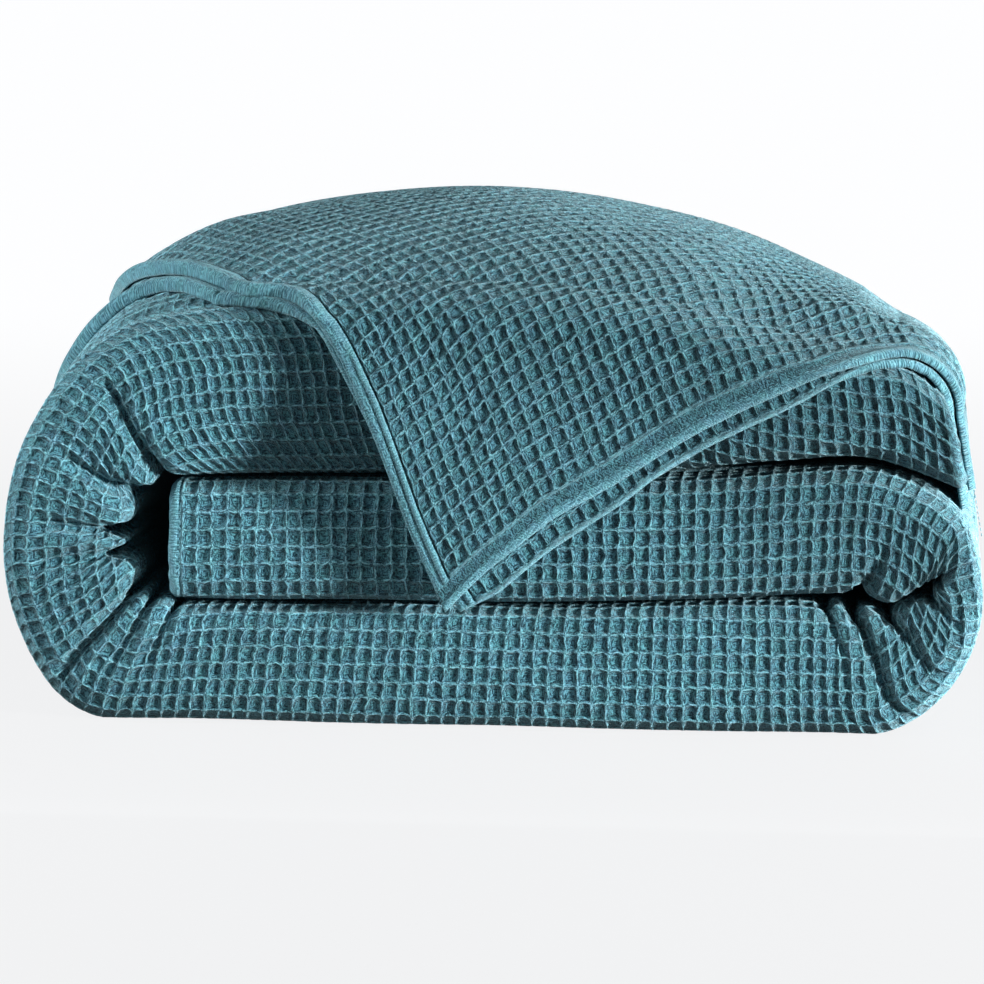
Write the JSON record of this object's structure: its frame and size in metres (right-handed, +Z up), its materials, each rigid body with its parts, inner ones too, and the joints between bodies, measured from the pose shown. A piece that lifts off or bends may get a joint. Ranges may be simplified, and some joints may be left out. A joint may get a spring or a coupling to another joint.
{
  "type": "folded waffle weave blanket",
  "caption": "Cotton waffle weave blanket folded lengthwise and rolled back and forth into a thick stack, with a loose flap lying askew over the top and its corner hanging in front.",
  "frame": {"origin": "centre of the stack's outline on the surface that it rests on", "axes": "+X along the folded bands towards the fold between the middle and the bottom band, +Y towards the back, +Z up"},
  "size_m": [0.4958, 0.3407, 0.2595],
  "materials": {
    "cotton": "matte teal cotton waffle weave"
  },
  "bodies": {
    "root": {"blanket": "cotton"}
  },
  "joints": []
}
